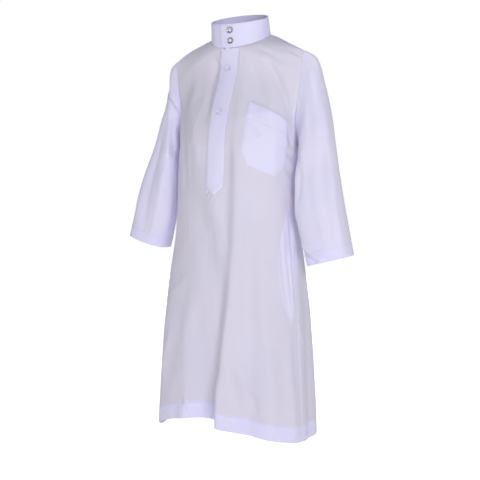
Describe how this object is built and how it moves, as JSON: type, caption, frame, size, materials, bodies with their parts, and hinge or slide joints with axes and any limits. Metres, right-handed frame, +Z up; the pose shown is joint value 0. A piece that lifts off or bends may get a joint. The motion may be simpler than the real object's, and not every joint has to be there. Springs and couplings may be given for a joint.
{
  "type": "thobe robe",
  "caption": "Child's white thobe robe, ankle length, with a snapped stand collar, front placket, chest pocket, side pockets and long sleeves, filled out as worn.",
  "frame": {"origin": "middle of the neck seam, where the wearer's neck and shoulders carry the robe", "axes": "+Z up along the robe's length, the front faces -Y, the wearer's left is +X"},
  "size_m": [0.464, 0.217, 0.7698],
  "materials": {
    "sheer_cloth": "fine plain weave, slightly sheer",
    "firm_cloth": "fine plain weave, doubled or interlined",
    "snap_metal": "satin"
  },
  "bodies": {
    "root": {"front_panel": "sheer_cloth", "back_panel": "sheer_cloth", "sleeve_left": "sheer_cloth", "sleeve_right": "sheer_cloth", "front_hem": "firm_cloth", "back_hem": "firm_cloth", "sleeve_hem_left": "firm_cloth", "sleeve_hem_right": "firm_cloth", "collar": "firm_cloth", "placket": "firm_cloth", "chest_pocket": "firm_cloth", "chest_pocket_hem": "firm_cloth", "side_pocket_left": "firm_cloth", "side_pocket_right": "firm_cloth", "collar_snap_upper": "snap_metal", "collar_snap_lower": "snap_metal", "placket_snap_upper": "snap_metal", "placket_snap_lower": "snap_metal"}
  },
  "joints": []
}
